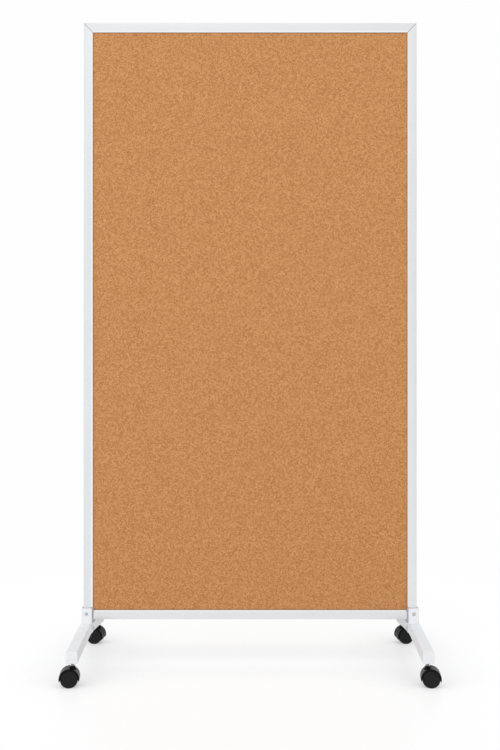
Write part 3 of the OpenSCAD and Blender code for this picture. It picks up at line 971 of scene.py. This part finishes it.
class PARTITION_OT_brackets(bpy.types.Operator):
    """Builds the two folded brackets with their liners and screws"""
    bl_idname = "partition.brackets"
    bl_label = "Brackets"

    def execute(self, context):
        settings = context.scene.partition.bracket
        coat = finish("powder_coat", powder_coat, tuple(context.scene.partition.foot.coat))
        liner = finish("liner_plastic", soft_plastic, tuple(settings.liner))
        plated = finish("plated_screw", plated_steel, tuple(context.scene.partition.caster.screw), 0.3)
        for name, side in SIDES:
            piece(mirrored(bracket_shape(settings), side), f"bracket_{name}", STAND, [coat],
                  [f"{name}_bracket"])
            piece(mirrored(liner_shape(settings), side), f"liner_{name}", STAND, [liner],
                  [f"{name}_liner"])
            both = bmesh.new()
            for end in (-1, 1):
                screw = button_head(
                    head_radius=4.8 * MM, head_height=SCREW_HIGH.y - BRACKET_HIGH.y,
                    shank_radius=SCREW_RADIUS, shank_length=13 * MM, socket_radius=2.2 * MM)
                upright = Matrix.Rotation(-end * math.pi / 2, 4, "X")
                move(screw, Matrix.Translation((SCREW_X, end * BRACKET_HIGH.y, SCREW_Z)) @ upright)
                merge_into(both, screw)
            piece(mirrored(both, side), f"panel_screws_{name}", STAND, [plated],
                  [f"{name}_panel_screws"])
        return {"FINISHED"}


def merge_into(target, source):
    """Adds one bmesh to another."""
    mesh = bpy.data.meshes.new("working")
    source.to_mesh(mesh)
    source.free()
    target.from_mesh(mesh)
    bpy.data.meshes.remove(mesh)


# ---- Feet ----

def foot_middle(settings):
    """Height of the leg tube's middle line where the legs start."""
    return FOOT_TOP - settings.tube / math.cos(settings.slope) / 2


def sloped(settings, start):
    """Turns a shape drawn round the Y axis into line with the right rear leg."""
    lean = Matrix.Rotation(-settings.slope, 4, "X")
    bend = Matrix.Translation((FOOT_X, BLOCK_HALF, foot_middle(settings)))
    return bend @ lean @ Matrix.Translation((0, start, 0))


def sloping_length(settings, sections, near, far, segments=5):
    """A length in line with the right rear leg, cut upright at two distances from the foot's middle."""
    bm = bmesh.new()
    wires(bm, sections, segments)
    sweep_wires(bm, (0, far - near + 2 * SPARE, 0))
    move(bm, sloped(settings, near - BLOCK_HALF - SPARE))
    trim(bm, (0, near, 0), (0, -1, 0))
    trim(bm, (0, far, 0), (0, 1, 0))
    return clean(bm)


def leg_shape(settings):
    """The right rear leg: a square tube with a hole below for the socket."""
    outer, wall = settings.tube, settings.wall
    inner = outer - 2 * wall
    sections = [(square(outer, outer), settings.corner), (square(inner, inner), settings.corner - wall)]
    bm = sloping_length(settings, sections, LEG_LOW.y, LEG_HIGH.y)
    ease(bm, settings.easing, lambda edge: sharp(edge) and outer_rim(edge, settings))
    low, high = LEG_LOW.z - MM, BUSH_HIGH.z + MM
    return cut(bm, rod(SOCKET_RADIUS + SLIP, (FOOT_X, STEM_Y, low), (FOOT_X, STEM_Y, high)))


def outer_rim(edge, settings):
    """Whether an edge lies on the tube's outside at one of its ends."""
    flat = abs(edge.verts[0].co.y - edge.verts[1].co.y) < 1e-6
    normals = [abs(face.normal.y) for face in edge.link_faces]
    middle = (edge.verts[0].co + edge.verts[1].co) / 2
    along = (middle.y - BLOCK_HALF) * math.tan(settings.slope)
    off_x, off_z = abs(middle.x - FOOT_X), abs(middle.z - foot_middle(settings) + along)
    return flat and max(normals) > 0.9 and max(off_x, off_z) > settings.tube / 2 - settings.wall * 0.8


def knuckle_shape(settings):
    """The foot's middle block, with a spigot that reaches into each leg."""
    tube = settings.tube
    bm = bmesh.new()
    outline(bm, square(tube, tube / math.cos(settings.slope)), settings.corner, 5)
    extrude(bm, bm.faces[:], (0, 2 * BLOCK_HALF, 0))
    move(bm, Matrix.Translation((FOOT_X, -BLOCK_HALF, foot_middle(settings))))
    clean(bm)
    ease(bm, settings.easing, sharp)
    width = tube - 2 * settings.wall - 4 * SLIP
    root, tip = BLOCK_HALF - 3 * MM, BLOCK_HALF + 34 * MM
    for end in (-1, 1):
        spigot = sloping_length(settings, [(square(width, width), MM)], root, tip, 3)
        bm = join(bm, flipped(spigot, end))
    start, stop = FOOT_X - tube / 2 - MM, BOLT_HIGH.x + SLIP
    return cut(bm, rod(BOLT_RADIUS + SLIP, (start, 0, BOLT_Z), (stop, 0, BOLT_Z)))


def cap_shape(settings):
    """An end cap: a face with rounded edges and a hollow plug that fits the tube."""
    section = (square(settings.tube, settings.tube), settings.corner)
    bm = sloping_length(settings, [section], LEG_END - settings.cap, LEG_END)
    merge_flats(bm)
    ease(bm, 0.9 * MM, lambda edge: all(vert.co.y > LEG_END - 1e-5 for vert in edge.verts), 3)
    back = [face for face in bm.faces if face.normal.y < -0.9]
    bmesh.ops.inset_region(bm, faces=back, thickness=settings.wall + 0.1 * MM, use_even_offset=True)
    drop = math.tan(settings.slope)
    beside_socket = STEM_Y + SOCKET_RADIUS + 0.4 * MM
    depth = LEG_END - settings.cap - beside_socket
    plug = extrude(bm, back, (0, -depth, depth * drop))
    bmesh.ops.delete(bm, geom=back, context="FACES_ONLY")
    bmesh.ops.inset_region(bm, faces=plug, thickness=2 * MM, use_even_offset=True)
    extrude(bm, plug, (0, depth - 0.5 * MM, -(depth - 0.5 * MM) * drop))
    bmesh.ops.delete(bm, geom=plug, context="FACES_ONLY")
    return clean(bm)


class PARTITION_OT_feet(bpy.types.Operator):
    """Builds the two feet: middle block, four leg tubes, end caps and bolts"""
    bl_idname = "partition.feet"
    bl_label = "Feet"

    def execute(self, context):
        settings = context.scene.partition.foot
        coat = finish("powder_coat", powder_coat, tuple(settings.coat))
        # The legs take the cooler copy of the coat, which offsets the warm light bounced from the cork.
        leg_coat = finish("leg_powder_coat", powder_coat, tuple(settings.leg_coat))
        plated = finish("plated_screw", plated_steel, tuple(context.scene.partition.caster.screw), 0.3)
        for name, side in SIDES:
            piece(mirrored(knuckle_shape(settings), side), f"foot_block_{name}", STAND, [coat],
                  [f"{name}_knuckle"])
            head = BRACKET_LOW.x - BOLT_LOW.x
            bolt = button_head(
                head_radius=7 * MM, head_height=head, shank_radius=BOLT_RADIUS,
                shank_length=BOLT_HIGH.x - BRACKET_LOW.x, socket_radius=2.9 * MM)
            move(bolt, Matrix.Translation((BRACKET_LOW.x, 0, BOLT_Z)) @ Matrix.Rotation(-math.pi / 2, 4, "Y"))
            piece(mirrored(bolt, side), f"foot_bolt_{name}", STAND, [plated], [f"{name}_foot_bolt"])
            for end_name, end in ENDS:
                place = f"{end_name}_{name}"
                piece(mirrored(flipped(leg_shape(settings), end), side), f"leg_{place}", STAND,
                      [leg_coat], [f"{place}_leg"])
                piece(mirrored(flipped(cap_shape(settings), end), side), f"cap_{place}", STAND,
                      [coat], [f"{place}_cap"])
        return {"FINISHED"}


# ---- Casters ----

def casters():
    """Name, side, and name and direction of the end of each caster."""
    for name, side in SIDES:
        for end_name, end in ENDS:
            yield f"{end_name}_{name}", side, end_name, end


def at_caster(bm, side, end_name, end):
    """Puts a shape drawn round the swivel axis, with its wheels trailing along +X, in its place."""
    turn = Matrix.Rotation(-axle_turn(end_name), 4, "Z")
    move(bm, Matrix.Translation((FOOT_X, end * STEM_Y, 0)) @ turn)
    return mirrored(bm, side)


def along_axle(bm):
    """Lays a shape turned about Z along the axle, at the axle's place behind the swivel."""
    return move(bm, Matrix.Translation((trail(), 0, AXLE_Z)) @ Matrix.Rotation(-math.pi / 2, 4, "X"))


def socket_shape(settings):
    """A threaded socket with a flange, as a plain tube round the stem."""
    flange = (BUSH_HIGH.x - BUSH_LOW.x) / 2
    inside = settings.stem / 2 + SLIP
    low, high = BUSH_LOW.z, BUSH_HIGH.z
    chamfer = 0.5 * MM
    return spun([
        (inside, low), (flange - chamfer, low), (flange, low + chamfer), (flange, low + 1.8 * MM),
        (flange - chamfer, low + 2.3 * MM), (SOCKET_RADIUS, low + 2.3 * MM), (SOCKET_RADIUS, high - 0.6 * MM),
        (SOCKET_RADIUS - 0.6 * MM, high), (inside, high)], steps=48)


def stem_shape(settings):
    """A stem with a snap collar at its foot and a bright collar on top of the neck."""
    radius = settings.stem / 2
    low, high = STEM_LOW.z, STEM_HIGH.z
    snap, snap_radius = low + 4 * MM, radius + 0.8 * MM
    wide = radius + 1.8 * MM
    stem = spun([
        (0, low), (radius - 0.6 * MM, low), (radius, low + 0.6 * MM), (radius, snap), (snap_radius, snap),
        (snap_radius, snap + 1.6 * MM), (radius, snap + 1.6 * MM), (radius, NECK_TOP - 1.6 * MM),
        (wide - 0.3 * MM, NECK_TOP - 1.6 * MM), (wide, NECK_TOP - 1.3 * MM), (wide, NECK_TOP + 0.2 * MM),
        (wide - 0.4 * MM, NECK_TOP + 0.6 * MM), (radius, NECK_TOP + 0.6 * MM), (radius, high - 0.7 * MM),
        (radius - 0.7 * MM, high), (0, high)], steps=48)
    for face in stem.faces:
        if abs(face.calc_center_median().z - NECK_TOP + 0.5 * MM) < 1.2 * MM:
            face.material_index = 1
    return stem


class PARTITION_OT_stems(bpy.types.Operator):
    """Builds the plated sockets and stems of the casters"""
    bl_idname = "partition.stems"
    bl_label = "Stems and Sockets"

    def execute(self, context):
        settings = context.scene.partition.caster
        zinc = finish("zinc_plate", plated_steel, tuple(settings.zinc), 0.24)
        steel = finish("plated_stem", plated_steel, tuple(settings.stem_steel), 0.3)
        collar = finish("plated_collar", plated_steel, tuple(settings.collar_steel), 0.26)
        for place, *where in casters():
            piece(at_caster(socket_shape(settings), *where), f"socket_{place}", STAND, [zinc],
                  [f"{place}_bush"])
            piece(at_caster(stem_shape(settings), *where), f"stem_{place}", STAND, [steel, collar],
                  [f"{place}_stem"])
        return {"FINISHED"}


def wheel_drum(radius, near, far, way):
    """A plain drum along the axle, on one side of the web, used for cutting."""
    drum = spun([(0, near), (radius, near), (radius, far), (0, far)], steps=96)
    return along_axle(upended(drum, way))


def hood_shape(settings):
    """The hood: a shell over both wheels with a web between them, a neck, and ends cut to points."""
    wheel = WHEEL_TOP - AXLE_Z
    inside = wheel + settings.shell_gap
    outside = inside + settings.shell
    eye = wheel - settings.overlap
    web = settings.web_half
    side = web + settings.wheel_gap + settings.wheel_width + 0.5 * MM
    half = side + settings.cheek
    bore = settings.axle / 2 + 0.02 * MM
    right = [
        (outside, half, settings.shell_edge), (eye, half, 0.35 * MM), (eye, side, 0.2 * MM),
        (inside, side, 0.6 * MM), (inside, web, 1.2 * MM), (bore, web, 0.2 * MM)]
    section = right + [(r, -y, rounding) for r, y, rounding in reversed(right)]
    bm = spun([(r, y) for r, y, _ in section], [rounding for _, _, rounding in section], steps=96)
    along_axle(bm)
    trim(bm, (0, 0, settings.hood_tip), (0, 0, -1))
    clean(bm)
    radius, top, root = settings.neck / 2, NECK_TOP, AXLE_Z + outside
    neck = spun([
        (0, AXLE_Z + 6 * MM), (radius, AXLE_Z + 6 * MM), (radius + 3.5 * MM, root - 7.5 * MM),
        (radius + 1.7 * MM, root - 2.4 * MM), (radius + 0.5 * MM, root - 0.6 * MM), (radius, root + 1.2 * MM),
        (radius, top - 0.7 * MM), (radius - 0.7 * MM, top), (0, top)], steps=64)
    for way in (-1, 1):
        neck = cut(neck, wheel_drum(inside - 0.02 * MM, web + 0.02 * MM, side, way))
    bm = join(bm, neck)
    for way in (-1, 1):
        opening = wheel_drum(inside - 0.03 * MM, side - 0.5 * MM, half + MM, way)
        trim(opening, (0, 0, settings.notch), (0, 0, 1))
        bm = cut(bm, opening)
    tip, slant = settings.hood_tip, 5 * MM
    reach = math.sqrt(outside ** 2 - (AXLE_Z - tip) ** 2)
    for way in (-1, 1):
        wedge = bmesh.new()
        corners = [
            (reach, tip - MM), (reach, tip), (reach - slant, tip + slant), (reach - slant, tip - MM)]
        outline(wedge, [(trail() + way * x, -30 * MM, z) for x, z in corners], 0)
        extrude(wedge, wedge.faces[:], (0, 60 * MM, 0))
        bm = cut(bm, wedge)
    low, snug = STEM_LOW.z, settings.stem / 2 + SLIP
    snap, recess = settings.stem / 2 + MM, settings.stem / 2 + 2.1 * MM
    return cut(bm, spun([
        (0, low - MM), (snug, low - MM), (snug, low + 3.6 * MM), (snap, low + 3.6 * MM), (snap, low + 6 * MM),
        (snug, low + 6 * MM), (snug, top - 2 * MM), (recess, top - 2 * MM), (recess, top + MM),
        (0, top + MM)], steps=48))


class PARTITION_OT_hoods(bpy.types.Operator):
    """Builds the four caster hoods and finishes their axles"""
    bl_idname = "partition.hoods"
    bl_label = "Caster Hoods"

    def execute(self, context):
        settings = context.scene.partition.caster
        plastic = finish("hood_plastic", moulded_plastic, tuple(settings.hood), 0.27, 0.08, 2400.0, 0.00003)
        black = finish("blackened_steel", blackened_steel, tuple(settings.axle_steel))
        for place, *where in casters():
            shape = at_caster(hood_shape(settings), *where)
            piece(shape, f"hood_{place}", f"{place}_swivel", [plastic], [f"{place}_hood"])
            dress(f"{place}_axle", black)
        return {"FINISHED"}


def wheel_shape(settings):
    """One wheel, from the web outwards: a crowned tread, a shallow dished disc and a low hub cap."""
    radius = WHEEL_TOP - AXLE_Z
    inner = settings.web_half + settings.wheel_gap
    outer = inner + settings.wheel_width
    bore, blind = settings.axle / 2 + SLIP, outer - 2.6 * MM
    hub = [(0, blind), (bore, blind), (bore, inner)]
    tread = [(radius - inset * MM, inner + depth * MM) for inset, depth in (
        (4, 0), (3.4, 0.3), (1.4, 0), (0.2, 1.4), (0, 2.6))]
    shoulder = [(radius - inset * MM, outer - depth * MM) for inset, depth in (
        (0, 1.7), (0.2, 0.95), (0.75, 0.35), (1.6, 0.05), (3.2, 0), (3.9, 0.55), (5.4, 0.9))]
    hub_cap = [(r * MM, outer - depth * MM) for r, depth in ((10.2, 0.95), (9.4, 0.5), (8.2, 0.22), (0, 0.2))]
    bm = spun(
        hub + tread + shoulder + hub_cap, [0, 0, 0.3 * MM] + [0.2 * MM] * 15 + [0], steps=96, rim_segments=2)
    tread_start = radius - 3.6 * MM
    for face in bm.faces:
        middle = face.calc_center_median()
        face.material_index = 1 if math.hypot(middle.x, middle.y) > tread_start else 0
    return bm


class PARTITION_OT_wheels(bpy.types.Operator):
    """Builds the eight caster wheels"""
    bl_idname = "partition.wheels"
    bl_label = "Caster Wheels"

    def execute(self, context):
        settings = context.scene.partition.caster
        disc = finish("wheel_disc", moulded_plastic, tuple(settings.disc), 0.5, 0.19, 3000.0, 0.00002)
        tread = finish("wheel_tread", moulded_plastic, tuple(settings.tread), 0.58, 0.2, 1500.0, 0.00006)
        for place, *where in casters():
            for wheel_name, way in WHEELS:
                bm = at_caster(along_axle(upended(wheel_shape(settings), way)), *where)
                piece(bm, f"wheel_{place}_{wheel_name}", f"{place}_{wheel_name}_wheel",
                      [disc, tread], [f"{place}_wheel_{wheel_name}"])
        return {"FINISHED"}


# ---- Stage ----

def soft_light(name, place, target, size, power):
    """A rectangular lamp of soft light that faces a target."""
    lamp = bpy.data.lights.new(name, "AREA")
    lamp.shape = "RECTANGLE"
    lamp.size, lamp.size_y = size
    lamp.energy = power
    thing = bpy.data.objects.new(name, lamp)
    bpy.context.scene.collection.objects.link(thing)
    thing.location = place
    thing.rotation_euler = (Vector(target) - Vector(place)).to_track_quat("-Z", "Y").to_euler()


class PARTITION_OT_stage(bpy.types.Operator):
    """Sets the camera, the pale floor, the white surroundings and the soft lights"""
    bl_idname = "partition.stage"
    bl_label = "Stage"

    def execute(self, context):
        scene = context.scene
        settings = scene.partition.stage
        scene.view_settings.view_transform = "Standard"

        lens = bpy.data.cameras.new("camera")
        lens.lens = settings.focal
        lens.sensor_width = 36.0
        lens.sensor_fit = "AUTO"
        lens.shift_x = -0.0002
        lens.shift_y = settings.shift_up
        camera = bpy.data.objects.new("camera", lens)
        scene.collection.objects.link(camera)
        camera.location = (0, -settings.camera_distance, settings.camera_height)
        camera.rotation_euler = (math.pi / 2, 0, 0)
        scene.camera = camera

        bm = bmesh.new()
        bmesh.ops.create_grid(bm, x_segments=24, y_segments=24, size=9.0)
        mesh = bpy.data.meshes.new("floor")
        bm.to_mesh(mesh)
        bm.free()
        floor = bpy.data.objects.new("floor", mesh)
        scene.collection.objects.link(floor)
        mesh.materials.append(finish("pale_floor", pale_floor, settings))

        world = bpy.data.worlds.new("surroundings")
        scene.world = world
        world.use_nodes = True
        nodes, links = world.node_tree.nodes, world.node_tree.links
        nodes.clear()
        rays = nodes.new("ShaderNodeLightPath")
        seen = rays.outputs["Is Camera Ray"]
        for label in ("Is Glossy Ray", "Is Transmission Ray"):
            either = nodes.new("ShaderNodeMath")
            either.operation = "MAXIMUM"
            links.new(seen, either.inputs[0])
            links.new(rays.outputs[label], either.inputs[1])
            seen = either.outputs["Value"]
        room, backdrop = nodes.new("ShaderNodeBackground"), nodes.new("ShaderNodeBackground")
        room.inputs["Color"].default_value = rgba(ROOM_TINT)
        place, split = nodes.new("ShaderNodeTexCoord"), nodes.new("ShaderNodeSeparateXYZ")
        links.new(place.outputs["Object"], split.inputs["Vector"])
        strength = nodes.new("ShaderNodeMapRange")
        strength.inputs["From Min"].default_value = 0.0
        strength.inputs["From Max"].default_value = -1.0
        strength.inputs["To Min"].default_value = settings.room
        strength.inputs["To Max"].default_value = settings.room * (1 + settings.room_front)
        links.new(split.outputs["Y"], strength.inputs["Value"])
        links.new(strength.outputs["Result"], room.inputs["Strength"])
        backdrop.inputs["Color"].default_value = rgba((PLAIN_WHITE,) * 3)
        backdrop.inputs["Strength"].default_value = 1.0
        mix, output = nodes.new("ShaderNodeMixShader"), nodes.new("ShaderNodeOutputWorld")
        links.new(seen, mix.inputs["Fac"])
        links.new(room.outputs["Background"], mix.inputs[1])
        links.new(backdrop.outputs["Background"], mix.inputs[2])
        links.new(mix.outputs["Shader"], output.inputs["Surface"])

        soft_light("front", (-0.2, -2.1, 2.66), (0, 0, 1.6), (1.2, 0.9), settings.front)
        soft_light("strip", (-1.45, -4.4, 1.6), (0, 0, 1.2), (1.2, 3.2), settings.strip)
        soft_light("side", (-3.4, -1.3, 2.6), (0, 0, 0.5), (1.8, 1.8), settings.side)
        return {"FINISHED"}


# ---- Panel and registration ----

OPERATORS = (
    PARTITION_OT_stage, PARTITION_OT_frame, PARTITION_OT_board, PARTITION_OT_brackets, PARTITION_OT_feet,
    PARTITION_OT_stems, PARTITION_OT_hoods, PARTITION_OT_wheels)


class PARTITION_PT_build(bpy.types.Panel):
    """Lists the pieces in the order in which they are built"""
    bl_idname = "PARTITION_PT_build"
    bl_label = "Rolling Partition"
    bl_space_type = "VIEW_3D"
    bl_region_type = "UI"
    bl_category = "Partition"

    def draw(self, context):
        for operator in OPERATORS:
            self.layout.operator(operator.bl_idname)


SETTINGS = (
    PartitionFrameSettings, PartitionBoardSettings, PartitionBracketSettings, PartitionFootSettings,
    PartitionCasterSettings, PartitionStageSettings, PartitionSettings)


def register():
    for each in SETTINGS + OPERATORS + (PARTITION_PT_build,):
        bpy.utils.register_class(each)
    bpy.types.Scene.partition = bpy.props.PointerProperty(type=PartitionSettings)


def unregister():
    del bpy.types.Scene.partition
    for each in reversed(SETTINGS + OPERATORS + (PARTITION_PT_build,)):
        bpy.utils.unregister_class(each)


def main():
    register()
    for operator in OPERATORS:
        group, action = operator.bl_idname.split(".")
        getattr(getattr(bpy.ops, group), action)()


if __name__ == "__main__":
    main()
